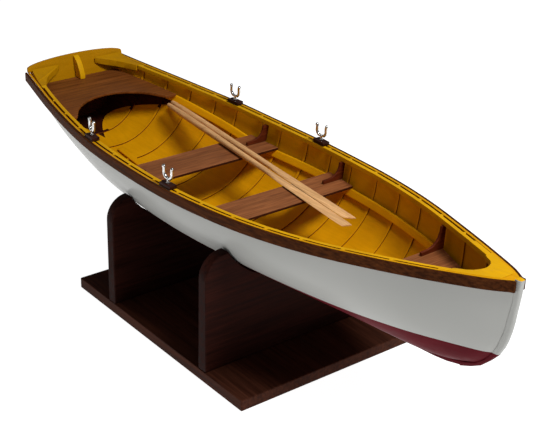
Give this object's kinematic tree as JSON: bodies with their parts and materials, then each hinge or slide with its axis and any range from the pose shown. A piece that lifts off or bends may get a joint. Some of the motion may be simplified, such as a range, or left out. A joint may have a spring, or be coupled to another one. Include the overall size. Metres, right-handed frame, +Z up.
{
  "type": "whitehall rowboat display model on stand",
  "caption": "Display model of an open pulling boat with thwarts, oars and swivelling oarlocks, resting on a dark wooden stand with cut-out uprights.",
  "frame": {"origin": "centre of the bounding box in X and Y, at the underside of the base board", "axes": "+X to the bow, +Y to port, +Z up"},
  "size_m": [0.7038, 0.224, 0.2014],
  "materials": {
    "white_paint": "gloss white and dark red paint",
    "yellow_paint": "satin yellow paint",
    "dark_wood": "dark brown varnish",
    "thwart_wood": "brown stained, satin",
    "oar_wood": "bare pale wood",
    "stand_wood": "very dark brown stain, satin",
    "bright_metal": "polished"
  },
  "bodies": {
    "boat": {"hull_planking": "white_paint", "stem": "white_paint", "keel": "white_paint", "transom": "yellow_paint", "rubrail_port": "dark_wood", "rubrail_starboard": "dark_wood", "inwale_port": "yellow_paint", "inwale_starboard": "yellow_paint", "rib_01": "yellow_paint", "rib_02": "yellow_paint", "rib_03": "yellow_paint", "rib_04": "yellow_paint", "rib_05": "yellow_paint", "rib_06": "yellow_paint", "rib_07": "yellow_paint", "rib_08": "yellow_paint", "rib_09": "yellow_paint", "rib_10": "yellow_paint", "rib_11": "yellow_paint", "rib_12": "yellow_paint", "rib_13": "yellow_paint", "rib_14": "yellow_paint", "rib_15": "yellow_paint", "rib_16": "yellow_paint", "keelson": "yellow_paint", "seat_riser_port": "yellow_paint", "seat_riser_starboard": "yellow_paint", "thwart_aft": "thwart_wood", "thwart_fore": "thwart_wood", "bow_seat": "thwart_wood", "stern_sheets": "dark_wood", "thwart_knee_aft_port": "dark_wood", "thwart_knee_fore_port": "dark_wood", "bow_seat_knee_port": "dark_wood", "thwart_knee_aft_starboard": "dark_wood", "thwart_knee_fore_starboard": "dark_wood", "bow_seat_knee_starboard": "dark_wood", "breasthook": "yellow_paint", "quarter_knee_port": "yellow_paint", "quarter_knee_starboard": "yellow_paint", "stern_knee": "yellow_paint", "oarlock_block_aft_port": "dark_wood", "oarlock_block_aft_starboard": "dark_wood", "oarlock_block_fore_port": "dark_wood", "oarlock_block_fore_starboard": "dark_wood", "oar_port": "oar_wood", "oar_starboard": "oar_wood", "stand_base": "stand_wood", "stand_upright_aft": "stand_wood", "stand_upright_fore": "stand_wood"},
    "oarlock_aft_port": {"oarlock_aft_port": "bright_metal"},
    "oarlock_aft_starboard": {"oarlock_aft_starboard": "bright_metal"},
    "oarlock_fore_port": {"oarlock_fore_port": "bright_metal"},
    "oarlock_fore_starboard": {"oarlock_fore_starboard": "bright_metal"}
  },
  "joints": [
    {"name": "oarlock_aft_port_swivel", "type": "hinge", "parent": "boat", "child": "oarlock_aft_port", "pos_m": [-0.15565, 0.09188, 0.17468], "axis": [0, 0, 1], "continuous": true},
    {"name": "oarlock_aft_starboard_swivel", "type": "hinge", "parent": "boat", "child": "oarlock_aft_starboard", "pos_m": [-0.15565, -0.09188, 0.17468], "axis": [0, 0, 1], "continuous": true},
    {"name": "oarlock_fore_port_swivel", "type": "hinge", "parent": "boat", "child": "oarlock_fore_port", "pos_m": [-0.00995, 0.09525, 0.17545], "axis": [0, 0, 1], "continuous": true},
    {"name": "oarlock_fore_starboard_swivel", "type": "hinge", "parent": "boat", "child": "oarlock_fore_starboard", "pos_m": [-0.00995, -0.09525, 0.17545], "axis": [0, 0, 1], "continuous": true}
  ]
}
